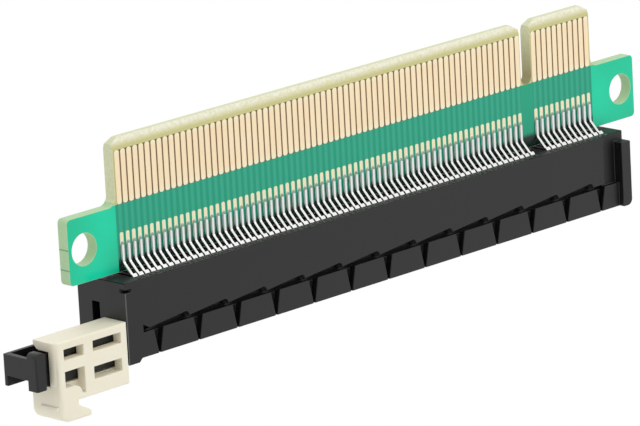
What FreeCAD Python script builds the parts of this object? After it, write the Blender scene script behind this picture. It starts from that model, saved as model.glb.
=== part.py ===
import FreeCAD, Part
import math
import os

import Sketcher
from FreeCAD import Vector

# A straight riser card. A small board carries a keyed edge tongue with gold fingers on both faces.
# Across its lower edge sits a slot housing whose spring contacts are soldered to pads on both faces,
# and at one end of the housing a sliding latch holds the card that is plugged into the slot.
#
# Frame, in millimetres: the origin is midway between the two screw holes, in the board's mid-plane.
# +X runs along the board towards pin 1, +Z towards the edge of the tongue, and the front is -Y.

# Each side of the tongue has 82 pins. Pins 1 to 11 lie on one side of the key notch, 12 to 82 on the other.
SHORT_PINS = 11
LONG_PINS = 71
ALL_PINS = SHORT_PINS + LONG_PINS
COPPER_BANKS = [(1, 11), (12, 82)]
CONTACT_BANKS = [(1, 11), (12, 18), (19, 32), (33, 49), (50, 82)]

# Driving dimensions. Everything below is worked out from these.
SIZES = {
    "board_thick": 1.6,
    "ear_height": 8.2,
    "ear_round": 0.6,
    "shoulder_round": 1.2,
    "hole_from_tongue": 5.45,
    "hole_margin": 2.6,
    "hole_dia": 4.0,
    "pitch": 1.0,
    "key_to_pin": 1.5,
    "key_width": 1.9,
    "edge_margin": 0.65,
    "finger_rise": 0.15,
    "finger_length": 6.65,
    "finger_width": 0.7,
    "lead_in": 1.45,
    "bevel_depth": 0.42,
    "corner_wide": 1.2,
    "corner_deep": 0.7,
    "copper_thick": 0.05,
    "pad_margin": 1.65,
    "pad_width": 0.7,
    "pad_length": 3.2,
    "contact_thick": 0.22,
    "contact_width": 0.42,
    "tail_margin": 1.15,
    "tail_length": 2.2,
    "row_spread": 1.75,
    "nib_preload": 0.07,
    "nib_height": 2.0,
    "fit_gap": 0.05,
    "seat_gap": 0.4,
    "slot_play": 0.1,
    "slot_depth": 8.3,
    "slot_roof": 1.4,
    "side_wall": 1.54,
    "end_wall": 2.35,
    "slot_end_gap": 0.1,
    "key_rib_gap": 0.1,
    "cavity_floor": 0.9,
    "mouth_width": 3.0,
    "mouth_depth": 0.6,
    "foot_length": 2.2,
    "foot_drop": 0.45,
    "block_height": 3.15,
    "groove_margin": 5.12,
    "groove_top": 1.55,
    "groove_tip": 0.22,
    "groove_depth": 0.9,
    "scoop_shift": 1.45,
    "scoop_rise": 0.6,
    "scoop_round": 0.55,
    "scoop_ledge": 0.35,
    "scoop_depth": 1.15,
    "scoop_slope": 0.37,
    "end_step": 1.17,
    "end_inset": 0.65,
    "channel_width": 2.65,
    "column_width": 1.65,
    "column_reach": 0.7,
    "column_round": 0.8,
    "notch_long": 1.0,
    "notch_tall": 0.4,
    "end_slot_width": 1.35,
    "end_slot_offset": 1.1,
    "end_slot_top": 2.9,
    "end_slot_depth": 1.5,
    "arm_length": 13.9,
    "arm_back": 1.9,
    "arm_drop": 0.35,
    "arm_height": 3.95,
    "rail_thick": 0.5,
    "web_height": 2.7,
    "stop_thick": 0.7,
    "post_width": 1.65,
    "post_reach": 1.15,
    "post_rise": 0.75,
    "post_round": 0.6,
    "slide_gap": 0.1,
    "arm_gap": 0.2,
    "latch_wall": 1.4,
    "latch_back": 0.3,
    "latch_top_rise": 1.45,
    "latch_drop": 2.25,
    "latch_inset": 1.2,
    "latch_foot_inset": 0.3,
    "latch_round": 1.0,
    "window_top": 1.0,
    "window_edge": 1.05,
    "window_margin": 1.35,
    "window_wide_left": 3.2,
    "window_rib": 1.5,
    "window_tall": 1.35,
    "window_sill": 1.9,
    "window_low_tall": 1.55,
    "window_step": 0.45,
    "tongue_length": 1.4,
    "tongue_round": 1.2,
    "roof_rise": 0.8,
    "hook_reach": 1.8,
    "hook_neck": 3.05,
    "hook_drop": 2.4,
    "hook_tip": 0.8,
    "hook_gap": 0.65,
    "hook_back": 0.6,
    "hook_round": 1.6,
    "lug_thick": 0.4,
    "lug_length": 6.0,
    "lug_drop": 0.75,
    "overcut": 1.0,
}

doc = FreeCAD.newDocument("riser_card")
sheet = doc.addObject("Spreadsheet::Sheet", "dims")
for row, (alias, value) in enumerate(SIZES.items(), start=1):
    sheet.set(f"A{row}", alias)
    sheet.set(f"B{row}", str(value))
    sheet.setAlias(f"B{row}", alias)
doc.recompute()

ORIGIN_POINT = (-1, 1)


def size(text):
    return float(sheet.evalExpression(text))


# Levels along Z and stations along X, each as an expression on the sheet.
key_x = f"(dims.pitch * {(LONG_PINS - SHORT_PINS) / 2})"
ear_top = "(dims.ear_height / 2)"
board_foot = "(0 - dims.ear_height / 2)"
board_face = "(dims.board_thick / 2)"
finger_bottom = f"({ear_top} + dims.finger_rise)"
finger_top = f"({finger_bottom} + dims.finger_length)"
tongue_top = f"({finger_top} + dims.lead_in)"
pad_bottom = f"({board_foot} + dims.pad_margin)"
pad_top = f"({pad_bottom} + dims.pad_length)"
tail_bottom = f"({board_foot} + dims.tail_margin)"
housing_top = f"({board_foot} - dims.seat_gap)"
slot_roof = f"({housing_top} - dims.slot_roof)"
rim = f"({slot_roof} - dims.slot_depth)"
block_top = f"({rim} + dims.block_height)"
arm_bottom = f"({rim} - dims.arm_drop)"
arm_top = f"({arm_bottom} + dims.arm_height)"


def pin_x(pin):
    if pin <= SHORT_PINS:
        return f"({key_x} + dims.key_to_pin + dims.pitch * {SHORT_PINS - pin})"
    return f"({key_x} - dims.key_to_pin - dims.pitch * {pin - SHORT_PINS - 1})"


tongue_right = f"({pin_x(1)} + dims.edge_margin)"
tongue_left = f"({pin_x(ALL_PINS)} - dims.edge_margin)"
hole_x = f"({tongue_right} + dims.hole_from_tongue)"
board_end = f"({hole_x} + dims.hole_margin)"
slot_end = f"({tongue_right} + dims.slot_end_gap)"
housing_end = f"({slot_end} + dims.end_wall)"

# Distances out from the middle plane, the same to the front and to the back.
slot_face = f"({board_face} + dims.slot_play)"
tail_line = f"({board_face} + dims.copper_thick + dims.contact_thick / 2)"
row_line = f"({board_face} + dims.row_spread)"
nib_line = f"({board_face} + dims.contact_thick / 2 - dims.nib_preload)"
cavity_face = f"({row_line} + dims.contact_thick / 2 + dims.fit_gap)"
housing_face = f"({cavity_face} + dims.side_wall)"

# The latch slides between the housing's end and a post at the far end of its arm.
arm_front = f"({housing_face} - dims.latch_wall - dims.slide_gap)"
arm_end = f"(0 - {housing_end} - dims.arm_length)"
post_left = f"({arm_end} - dims.stop_thick)"
post_right = f"({post_left} + dims.post_width)"
web_bottom = f"({arm_top} - dims.web_height)"


def new_body(label):
    body = doc.addObject("PartDesign::Body", label)
    body.Label = label
    body.AllowCompound = True
    return body


def origin_feature(body, role):
    return next(item for item in body.Origin.OriginFeatures if item.Role == role)


# A sketch on one of the body's own planes, lifted along the plane's normal.
# The normals are +Z for XY, -Y for XZ and +X for YZ.
def new_sketch(body, name, role, lift=None):
    sketch = body.newObject("Sketcher::SketchObject", name)
    sketch.AttachmentSupport = [(origin_feature(body, role), "")]
    sketch.MapMode = "FlatFace"
    if lift:
        sketch.setExpression("AttachmentOffset.Base.z", lift)
    return sketch


def drive(sketch, kind, expression, *where):
    index = sketch.addConstraint(Sketcher.Constraint(kind, *where, size(expression)))
    sketch.setExpression(f"Constraints[{index}]", expression)


# The arc from one corner to the next. It bows away from the outline's inside, or into it.
def bowed_edge(start, end, radius, bow):
    half = (end - start) * 0.5
    sideways = Vector(-half.y, half.x, 0).normalize()
    rise = math.sqrt(max(radius ** 2 - half.Length ** 2, 0))
    centre = start + half + sideways * (rise if bow == "out" else -rise)
    angles = [math.atan2((p - centre).y, (p - centre).x) for p in (start, end)]
    if bow == "in":
        angles.reverse()
    return Part.ArcOfCircle(Part.Circle(centre, Vector(0, 0, 1), radius), *angles)


# A closed outline, anticlockwise. A corner is (x, y), or (x, y, radius, "out" or "in")
# where the edge that leaves it is an arc.
def outline(sketch, corners, closed=True):
    spots = [Vector(size(corner[0]), size(corner[1]), 0) for corner in corners]
    count = len(corners) if closed else len(corners) - 1
    edges = []
    for index in range(count):
        start, end = spots[index], spots[(index + 1) % len(spots)]
        corner = corners[index]
        if len(corner) == 2:
            edges.append((sketch.addGeometry(Part.LineSegment(start, end), False), 1, 2))
            continue
        arc = bowed_edge(start, end, size(corner[2]), corner[3])
        ends = (1, 2) if corner[3] == "out" else (2, 1)
        edges.append((sketch.addGeometry(arc, False), *ends))
    joints = zip(edges, edges[1:] + edges[:1] if closed else edges[1:])
    for (edge, _, tail), (following, head, _) in joints:
        sketch.addConstraint(Sketcher.Constraint("Coincident", edge, tail, following, head))
    for (edge, head, _), corner in zip(edges, corners):
        drive(sketch, "DistanceX", corner[0], *ORIGIN_POINT, edge, head)
        drive(sketch, "DistanceY", corner[1], *ORIGIN_POINT, edge, head)
        if len(corner) > 2:
            drive(sketch, "Radius", corner[2], edge)
    if not closed:
        edge, _, tail = edges[-1]
        drive(sketch, "DistanceX", corners[-1][0], *ORIGIN_POINT, edge, tail)
        drive(sketch, "DistanceY", corners[-1][1], *ORIGIN_POINT, edge, tail)


def rectangle(sketch, left, bottom, right, top):
    outline(sketch, [(left, bottom), (right, bottom), (right, top), (left, top)])


def circle(sketch, x, y, radius):
    centre = Vector(size(x), size(y), 0)
    edge = sketch.addGeometry(Part.Circle(centre, Vector(0, 0, 1), size(radius)), False)
    drive(sketch, "DistanceX", x, *ORIGIN_POINT, edge, 3)
    drive(sketch, "DistanceY", y, *ORIGIN_POINT, edge, 3)
    drive(sketch, "Radius", radius, edge)


def solid_step(body, kind, name, sketch, length, reverse=False, symmetric=False):
    feature = body.newObject(f"PartDesign::{kind}", name)
    feature.Profile = sketch
    feature.setExpression("Length", length)
    feature.Reversed = reverse
    feature.SideType = "Symmetric" if symmetric else "One side"
    return feature


def pad(body, name, sketch, length, **options):
    return solid_step(body, "Pad", name, sketch, length, **options)


def pocket(body, name, sketch, length, **options):
    return solid_step(body, "Pocket", name, sketch, length, **options)


def row_of(body, name, feature, spacing, count):
    pattern = body.newObject("PartDesign::LinearPattern", name)
    pattern.Originals = [feature]
    pattern.Direction = (origin_feature(body, "X_Axis"), [""])
    pattern.Mode = "Spacing"
    pattern.setExpression("Offset", spacing)
    pattern.Occurrences = count
    body.Tip = pattern
    return pattern


# Straight edges that run along one axis through the stated coordinates.
def edges_of(feature, along, **where):
    doc.recompute()
    found = []
    for number, edge in enumerate(feature.Shape.Edges, start=1):
        ends = [vertex.Point for vertex in edge.Vertexes]
        if len(ends) != 2 or not isinstance(edge.Curve, Part.Line):
            continue
        span = ends[1] - ends[0]
        if abs(span["xyz".index(along)]) < 0.999 * span.Length:
            continue
        if all(abs(ends[0]["xyz".index(axis)] - size(text)) < 0.01 for axis, text in where.items()):
            found.append(f"Edge{number}")
    return found


def fillet(body, name, feature, edge_names, radius):
    rounding = body.newObject("PartDesign::Fillet", name)
    rounding.Base = (feature, edge_names)
    rounding.setExpression("Radius", radius)
    return rounding


# The two faces of the card. "out" is the sketch lift that puts a plane on that side at a distance.
SIDES = {"front": 1, "back": -1}


def side_lift(side, distance):
    return f"({SIDES[side]} * {distance})"


def side_y(side, distance):
    return f"({-SIDES[side]} * {distance})"


def build_board():
    body = new_body("circuit_board")
    key_left = f"({key_x} - dims.key_width / 2)"
    key_right = f"({key_x} + dims.key_width / 2)"
    key_round = f"({finger_bottom} + dims.key_width / 2)"
    shoulder = f"({tongue_top} - dims.corner_deep)"
    sketch = new_sketch(body, "board_outline", "XZ_Plane")
    outline(sketch, [
        (f"(0 - {board_end})", board_foot),
        (board_end, board_foot),
        (board_end, ear_top),
        (tongue_right, ear_top),
        (tongue_right, shoulder),
        (f"({tongue_right} - dims.corner_wide)", tongue_top),
        (f"({key_right} + dims.corner_wide)", tongue_top),
        (key_right, shoulder),
        (key_right, key_round, "dims.key_width / 2", "in"),
        (key_x, finger_bottom, "dims.key_width / 2", "in"),
        (key_left, key_round),
        (key_left, shoulder),
        (f"({key_left} - dims.corner_wide)", tongue_top),
        (f"({tongue_left} + dims.corner_wide)", tongue_top),
        (tongue_left, shoulder),
        (tongue_left, ear_top),
        (f"(0 - {board_end})", ear_top),
    ])
    plate = pad(body, "board_plate", sketch, "dims.board_thick", symmetric=True)

    left_corners = edges_of(plate, "y", x=f"(0 - {board_end})")
    right_corners = edges_of(plate, "y", x=board_end)
    ears = fillet(body, "ear_rounds", plate, left_corners + right_corners, "dims.ear_round")
    inner = edges_of(ears, "y", x=tongue_left, z=ear_top) + edges_of(ears, "y", x=tongue_right, z=ear_top)
    fillet(body, "shoulder_rounds", ears, inner, "dims.shoulder_round")

    holes = new_sketch(body, "screw_hole_circles", "XZ_Plane")
    for x in (hole_x, f"(0 - {hole_x})"):
        circle(holes, x, f"({ear_top} + {board_foot})", "dims.hole_dia / 2")
    pocket(body, "screw_holes", holes, "dims.board_thick + dims.overcut", symmetric=True)

    # The leading edge is bevelled on both faces, from the tips of the fingers to the edge.
    bevel = new_sketch(body, "bevel_wedges", "YZ_Plane")
    thin = f"({board_face} - dims.bevel_depth)"
    outline(bevel, [(board_face, finger_top), (board_face, tongue_top), (thin, tongue_top)])
    outline(bevel, [(f"(0 - {board_face})", finger_top), (f"(0 - {thin})", tongue_top),
                    (f"(0 - {board_face})", tongue_top)])
    pocket(body, "edge_bevel", bevel, f"{tongue_right} - {tongue_left} + dims.overcut", symmetric=True)
    return body


# One bank of copper: a plated bar on the board's face, repeated at the pin pitch.
def build_copper(label, side, pins, width, bottom, top):
    first, last = pins
    body = new_body(label)
    sketch = new_sketch(body, f"{label}_bar", "XZ_Plane", side_lift(side, board_face))
    left = f"({pin_x(last)} - {width} / 2)"
    rectangle(sketch, left, bottom, f"({left} + {width})", top)
    bar = pad(body, f"{label}_plating", sketch, "dims.copper_thick", reverse=side == "back")
    row_of(body, f"{label}_row", bar, "dims.pitch", last - first + 1)
    return body


# The middle line of a spring contact, from the end of its soldered tail to the nib in the slot.
def contact_line(side):
    return [
        (side_y(side, tail_line), f"({tail_bottom} + dims.tail_length)"),
        (side_y(side, tail_line), tail_bottom),
        (side_y(side, row_line), f"({housing_top} - dims.fit_gap)"),
        (side_y(side, nib_line), f"({rim} + dims.nib_height)"),
    ]


def build_contacts(label, side, pins):
    first, last = pins
    body = new_body(label)
    path = new_sketch(body, f"{label}_path", "YZ_Plane", pin_x(last))
    line = contact_line(side)
    outline(path, line, closed=False)
    section = new_sketch(body, f"{label}_section", "XY_Plane", line[0][1])
    left = f"({pin_x(last)} - dims.contact_width / 2)"
    near = f"({line[0][0]} - dims.contact_thick / 2)"
    rectangle(section, left, near, f"({left} + dims.contact_width)", f"({near} + dims.contact_thick)")
    spring = body.newObject("PartDesign::AdditivePipe", f"{label}_spring")
    spring.Profile = section
    spring.Spine = (path, [f"Edge{number}" for number in range(1, len(line))])
    spring.Transition = "Right corner"
    row_of(body, f"{label}_row", spring, "dims.pitch", last - first + 1)
    return body


# The mouth side of the housing: the card slot on both sides of the key rib, with a flared mouth.
def cut_card_slot(body):
    rib_half = "(dims.key_width / 2 - dims.key_rib_gap)"
    sketch = new_sketch(body, "slot_plan", "XY_Plane", rim)
    rectangle(sketch, f"(0 - {slot_end})", f"(0 - {slot_face})", f"({key_x} - {rib_half})", slot_face)
    rectangle(sketch, f"({key_x} + {rib_half})", f"(0 - {slot_face})", slot_end, slot_face)
    pocket(body, "card_slot", sketch, "dims.slot_depth", reverse=True)

    flare = new_sketch(body, "mouth_section", "YZ_Plane")
    lip = "(dims.mouth_width / 2)"
    throat = f"({rim} + dims.mouth_depth)"
    outline(flare, [(f"(0 - {lip})", rim), (lip, rim), (slot_face, throat), (f"(0 - {slot_face})", throat)])
    pocket(body, "mouth_flare", flare, f"2 * {slot_end}", symmetric=True)


# Each pair of contacts hangs in a cavity of its own, which crosses the card slot.
def cut_cavities(body):
    width = "(dims.contact_width + 2 * dims.fit_gap)"
    for first, last in COPPER_BANKS:
        name = f"cavities_{first:02}_{last:02}"
        sketch = new_sketch(body, f"{name}_plan", "XY_Plane", housing_top)
        left = f"({pin_x(last)} - {width} / 2)"
        rectangle(sketch, left, f"(0 - {cavity_face})", f"({left} + {width})", cavity_face)
        cut = pocket(body, f"{name}_cut", sketch, "dims.slot_roof + dims.slot_depth - dims.cavity_floor")
        row_of(body, name, cut, "dims.pitch", last - first + 1)


# The long faces: a row of blocks at the rim, parted by spindle-shaped grooves, under arched scoops.
BLOCK_GROOVES = 13


def cut_face(body, side):
    lift = side_lift(side, housing_face)
    reverse = side == "back"
    first_groove = f"(dims.groove_margin - {housing_end})"
    spacing = f"(0 - {first_groove}) / {(BLOCK_GROOVES - 1) / 2}"
    cusp = f"({first_groove} - dims.scoop_shift)"
    foot_end = f"(0 - {housing_end} + dims.foot_length + dims.foot_drop)"
    channel_left = f"({housing_end} - dims.column_width - dims.channel_width)"
    inward = Vector(0, SIDES[side], -size("dims.scoop_slope"))

    groove = new_sketch(body, f"{side}_groove_shape", "XZ_Plane", lift)
    wide = "(dims.groove_top / 2)"
    tip = "(dims.groove_tip / 2)"
    outline(groove, [
        (f"({first_groove} - {tip})", rim),
        (f"({first_groove} + {tip})", rim),
        (f"({first_groove} + {wide})", block_top),
        (f"({first_groove} - {wide})", block_top),
    ])
    cut = pocket(body, f"{side}_groove", groove, "dims.groove_depth", reverse=reverse)
    row_of(body, f"{side}_grooves", cut, spacing, BLOCK_GROOVES)

    ledge = new_sketch(body, f"{side}_ledge_shape", "XZ_Plane", lift)
    ledge_top = f"({block_top} + dims.scoop_ledge)"
    outline(ledge, [(foot_end, block_top), (channel_left, block_top), (channel_left, ledge_top),
                    (cusp, ledge_top), (foot_end, f"({ledge_top} + dims.scoop_rise)")])
    lean(pocket(body, f"{side}_ledge", ledge, "dims.scoop_depth"), inward)

    scoop = new_sketch(body, f"{side}_scoop_shape", "XZ_Plane", lift)
    arch_base = f"({block_top} + dims.scoop_ledge / 2)"
    wing_right = f"({cusp} + {spacing})"
    outline(scoop, [
        (cusp, arch_base),
        (wing_right, arch_base),
        (wing_right, ledge_top, "dims.scoop_round", "out"),
        (f"({wing_right} - dims.scoop_round)", f"({ledge_top} + dims.scoop_rise)"),
        (cusp, ledge_top),
    ])
    arch = lean(pocket(body, f"{side}_scoop", scoop, "dims.scoop_depth"), inward)
    row_of(body, f"{side}_scoops", arch, spacing, BLOCK_GROOVES - 1)


# The cut runs inwards and down, so that its floor falls away behind the blocks.
def lean(feature, direction):
    feature.UseCustomVector = True
    feature.Direction = direction
    return feature


def shape_ends(body, side):
    reverse = side == "back"
    lift = side_lift(side, housing_face)
    step = f"({housing_top} - dims.end_step)"
    column_left = f"({housing_end} - dims.column_width)"
    channel_left = f"({column_left} - dims.channel_width)"

    channel = new_sketch(body, f"{side}_channel_shape", "XZ_Plane", lift)
    outline(channel, [
        (channel_left, block_top),
        (column_left, block_top),
        (column_left, step),
        (f"({housing_end} + dims.overcut)", step),
        (f"({housing_end} + dims.overcut)", f"({housing_top} + dims.overcut)"),
        (channel_left, f"({housing_top} + dims.overcut)"),
    ])
    pocket(body, f"{side}_channel", channel, "dims.end_inset", reverse=reverse)

    column = new_sketch(body, f"{side}_column_shape", "XZ_Plane", side_lift(side, f"({housing_face} - dims.end_inset)"))
    corner = f"({rim} + dims.column_round)"
    outline(column, [
        (column_left, rim),
        (f"({housing_end} - dims.column_round)", rim, "dims.column_round", "out"),
        (housing_end, corner),
        (housing_end, step),
        (column_left, step),
    ])
    pad(body, f"{side}_column", column, "dims.end_inset + dims.column_reach", reverse=reverse)

    notch = new_sketch(body, f"{side}_notch_shape", "XZ_Plane", lift)
    left = f"(0 - {housing_end} - dims.overcut)"
    rectangle(notch, left, step, f"(0 - {housing_end} + dims.notch_long)", f"({step} + dims.notch_tall)")
    pocket(body, f"{side}_notch", notch, "dims.notch_long", reverse=reverse)


# The arm beside the slot's end carries the latch between the housing and a stop post.
def add_latch_arm(body):
    front = f"(0 - {arm_front})"
    back = "dims.arm_back"
    web_top = f"({web_bottom} + dims.rail_thick)"
    section = new_sketch(body, "arm_section", "YZ_Plane", f"(0 - {housing_end})")
    outline(section, [
        (front, arm_bottom),
        (f"({front} + dims.rail_thick)", arm_bottom),
        (f"({front} + dims.rail_thick)", web_bottom),
        (f"({back} - dims.rail_thick)", web_bottom),
        (f"({back} - dims.rail_thick)", arm_bottom),
        (back, arm_bottom),
        (back, arm_top),
        (f"({back} - dims.rail_thick)", arm_top),
        (f"({back} - dims.rail_thick)", web_top),
        (f"({front} + dims.rail_thick)", web_top),
        (f"({front} + dims.rail_thick)", arm_top),
        (front, arm_top),
    ])
    pad(body, "latch_arm", section, "dims.arm_length", reverse=True)

    plate = new_sketch(body, "stop_section", "YZ_Plane", arm_end)
    leg = f"({back} - dims.rail_thick)"
    outline(plate, [(front, web_bottom), (leg, web_bottom), (leg, arm_bottom), (back, arm_bottom),
                    (back, arm_top), (front, arm_top)])
    pad(body, "arm_stop", plate, "dims.stop_thick", reverse=True)

    post = new_sketch(body, "post_shape", "XZ_Plane", f"({arm_front} - dims.rail_thick)")
    crown = f"({arm_top} + dims.post_rise)"
    low = f"({crown} - dims.post_round)"
    outline(post, [
        (post_left, arm_bottom),
        (post_right, arm_bottom),
        (post_right, low, "dims.post_round", "out"),
        (f"({post_right} - dims.post_round)", crown),
        (f"({post_left} + dims.post_round)", crown, "dims.post_round", "out"),
        (post_left, low),
    ])
    pad(body, "stop_post", post, "dims.post_reach + dims.rail_thick")


def build_housing():
    body = new_body("slot_housing")
    section = new_sketch(body, "housing_section", "YZ_Plane")
    rectangle(section, f"(0 - {housing_face})", rim, housing_face, housing_top)
    pad(body, "housing_block", section, f"2 * {housing_end}", symmetric=True)

    foot = new_sketch(body, "foot_shape", "XZ_Plane")
    left = f"(0 - {housing_end})"
    inner = f"({left} + dims.foot_length)"
    outline(foot, [(left, f"({rim} - dims.foot_drop)"), (f"({inner} - dims.foot_drop)", f"({rim} - dims.foot_drop)"),
                   (inner, rim), (inner, f"({rim} + dims.overcut)"), (left, f"({rim} + dims.overcut)")])
    pad(body, "housing_foot", foot, f"2 * {housing_face}", symmetric=True)

    for side in SIDES:
        cut_face(body, side)
        shape_ends(body, side)

    slot = new_sketch(body, "end_slot_shape", "YZ_Plane", f"(0 - {housing_end})")
    near = "(dims.end_slot_offset - dims.end_slot_width / 2)"
    rectangle(slot, near, arm_top, f"({near} + dims.end_slot_width)", f"({housing_top} - dims.end_slot_top)")
    pocket(body, "end_slot", slot, "dims.end_slot_depth", reverse=True)

    add_latch_arm(body)
    cut_card_slot(body)
    cut_cavities(body)
    return body


# The latch is an open cage: front wall, top and floor, with a hook below that reaches under a card's tab.
def build_latch():
    body = new_body("slot_latch")
    left = f"({post_right} + dims.latch_inset)"
    right = f"(0 - {housing_end} - dims.slide_gap)"
    top = f"({arm_top} + dims.latch_top_rise)"
    bottom = f"({arm_bottom} - dims.latch_drop)"
    hook_left = f"({left} + dims.latch_foot_inset)"
    neck = f"({hook_left} + dims.hook_neck)"
    hook_bottom = f"({bottom} - dims.hook_drop)"
    step = f"({arm_bottom} - dims.arm_gap / 2)"

    face = new_sketch(body, "latch_outline", "XZ_Plane", housing_face)
    outline(face, [
        (left, step),
        (hook_left, step),
        (hook_left, f"({hook_bottom} + dims.hook_round)", "dims.hook_round", "out"),
        (f"({hook_left} + dims.hook_round)", hook_bottom),
        (f"({neck} + dims.hook_reach)", hook_bottom),
        (f"({neck} + dims.hook_reach)", f"({hook_bottom} + dims.hook_tip)"),
        (neck, f"({bottom} - dims.hook_gap)"),
        (neck, bottom),
        (right, bottom),
        (right, top),
        (left, top),
    ])
    block = pad(body, "latch_block", face, f"{housing_face} + dims.hook_back", reverse=True)
    rounds = edges_of(block, "z", x=left, y=f"(0 - {housing_face})")
    fillet(body, "latch_corner", block, rounds, "dims.latch_round")

    hollow = new_sketch(body, "latch_hollow_section", "YZ_Plane")
    inner = f"(dims.latch_wall - {housing_face})"
    floor = f"({arm_bottom} - dims.arm_gap)"
    roof = f"({arm_top} + dims.arm_gap)"
    rear = "(dims.hook_back + dims.overcut)"
    trimmed = "(0 - dims.latch_back)"
    outline(hollow, [
        (inner, floor),
        (rear, floor),
        (rear, f"({top} + dims.overcut)"),
        (trimmed, f"({top} + dims.overcut)"),
        (trimmed, f"({roof} + dims.roof_rise)"),
        (f"({trimmed} - dims.roof_rise)", roof),
        (inner, roof),
    ])
    pocket(body, "latch_hollow", hollow, f"0 - 2 * {left} + dims.overcut", symmetric=True)

    windows = new_sketch(body, "latch_window_shapes", "XZ_Plane", housing_face)
    x1 = f"({left} + dims.window_margin)"
    x2 = f"({x1} + dims.window_wide_left)"
    x3 = f"({x2} + dims.window_rib)"
    x4 = f"({right} - dims.window_edge)"
    upper = f"({top} - dims.window_top)"
    lower = f"({bottom} + dims.window_sill)"
    rectangle(windows, x1, f"({upper} - dims.window_tall)", x2, upper)
    rectangle(windows, x3, f"({upper} - dims.window_tall)", x4, upper)
    rectangle(windows, x3, lower, x4, f"({lower} + dims.window_low_tall)")
    tongue = f"({x1} + dims.tongue_length)"
    under = f"({lower} - dims.tongue_round)"
    high = f"({lower} + dims.window_low_tall + dims.window_step)"
    outline(windows, [
        (x1, lower),
        (tongue, lower, "dims.tongue_round", "in"),
        (f"({tongue} + dims.tongue_round)", under),
        (x2, under),
        (x2, high),
        (x1, high),
    ])
    pocket(body, "latch_windows", windows, "dims.latch_wall")

    lug = new_sketch(body, "lug_section", "YZ_Plane", f"(({left} + {right} - dims.lug_length) / 2)")
    lug_top = f"({roof} + dims.roof_rise + dims.arm_gap)"
    rectangle(lug, f"({trimmed} - dims.lug_thick)", f"({roof} - dims.lug_drop)", trimmed, lug_top)
    pad(body, "latch_lug", lug, "dims.lug_length")
    return body


parts = [build_board(), build_latch(), build_housing()]
for side in SIDES:
    for first, last in COPPER_BANKS:
        pins = f"{first:02}_{last:02}"
        parts.append(build_copper(f"fingers_{side}_{pins}", side, (first, last), "dims.finger_width",
                                  finger_bottom, finger_top))
        parts.append(build_copper(f"pads_{side}_{pins}", side, (first, last), "dims.pad_width",
                                  pad_bottom, pad_top))
    for first, last in CONTACT_BANKS:
        parts.append(build_contacts(f"contacts_{side}_{first:02}_{last:02}", side, (first, last)))

doc.recompute()
for item in doc.Objects:
    if {"Invalid", "Error"} & set(item.State):
        raise RuntimeError(f"{item.Label} did not build: {item.State}")
for body in parts:
    if body.Shape.isNull() or not body.Shape.isValid():
        raise RuntimeError(f"{body.Label} has no valid shape")

os.makedirs("parts", exist_ok=True)
for body in parts:
    body.Shape.exportStep(f"parts/{body.Label}.step")
    print(f"{body.Label}: {len(body.Shape.Solids)} solids, {body.Shape.Volume:.2f} mm3")
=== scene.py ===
import math

import bmesh
import bpy
from mathutils import Matrix, Vector


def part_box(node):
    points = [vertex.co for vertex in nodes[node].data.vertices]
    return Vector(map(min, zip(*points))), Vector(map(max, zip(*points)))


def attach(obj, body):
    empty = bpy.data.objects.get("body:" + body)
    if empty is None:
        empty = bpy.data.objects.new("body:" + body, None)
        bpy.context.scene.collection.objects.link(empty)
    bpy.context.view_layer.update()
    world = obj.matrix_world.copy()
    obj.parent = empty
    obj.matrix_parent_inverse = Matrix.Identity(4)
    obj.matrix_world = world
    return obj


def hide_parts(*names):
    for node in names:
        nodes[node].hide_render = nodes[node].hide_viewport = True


# A straight riser card: a green board with gold fingers, a black card slot soldered across its foot
# and a cream latch at the slot's end. Lengths in the dictionaries are in millimetres, angles in degrees.

mm = 0.001
hair = 0.01    # places nearer than this count as one

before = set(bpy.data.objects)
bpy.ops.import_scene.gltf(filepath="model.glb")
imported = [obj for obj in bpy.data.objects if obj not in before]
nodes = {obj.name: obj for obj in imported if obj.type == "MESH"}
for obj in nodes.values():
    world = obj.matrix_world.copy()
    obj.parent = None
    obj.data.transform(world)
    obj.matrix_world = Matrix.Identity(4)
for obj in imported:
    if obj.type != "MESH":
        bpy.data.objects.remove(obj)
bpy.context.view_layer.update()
print("stage: frame loaded,", len(nodes), "nodes")


def span(*names):
    # lowest and highest corner of these nodes together, in millimetres
    boxes = [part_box(name) for name in names]
    low = Vector([min(box[0][i] for box in boxes) for i in range(3)])
    high = Vector([max(box[1][i] for box in boxes) for i in range(3)])
    return low / mm, high / mm


def named(start):
    # the nodes whose names start so, in order
    return sorted(name for name in nodes if name.startswith(start))


boardLow = span("circuit_board")[0]
fingerLow, fingerHigh = span(*named("fingers_front"))
padLow = span(*named("pads_front"))[0]
housingLow, housingHigh = span("slot_housing")
latchLow, latchHigh = span("slot_latch")
keyLeft = span(*named("fingers_front_12"))[1].x
keyRight = span(*named("fingers_front_01"))[0].x
keyCentre = (keyLeft + keyRight) / 2

# The pins are counted from the right, and the key notch takes the room of two.
pinPitch = 1.0
keyPins = 2
copperBanks = [(1, 11), (12, 82)]
contactBanks = [(1, 11), (12, 18), (19, 32), (33, 49), (50, 82)]
beforeKey = copperBanks[0][1]
lastPin = copperBanks[1][1]


def pinAt(pin):
    # the first pin stands half a finger in from the end of the row
    halfFinger = (fingerHigh.x - keyRight) % pinPitch / 2
    gap = keyPins * pinPitch if pin > beforeKey else 0.0
    return fingerHigh.x - halfFinger - (pin - 1) * pinPitch - gap


def hexColour(text):
    # sRGB hex to the linear values that the shader wants
    parts = [int(text[i:i + 2], 16) / 255 for i in (1, 3, 5)]
    linear = [p / 12.92 if p <= 0.04045 else ((p + 0.055) / 1.055) ** 2.4 for p in parts]
    return (*linear, 1.0)


def newMaterial(name):
    material = bpy.data.materials.new(name)
    material.use_nodes = True
    material.node_tree.nodes.clear()
    return material, material.node_tree


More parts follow.
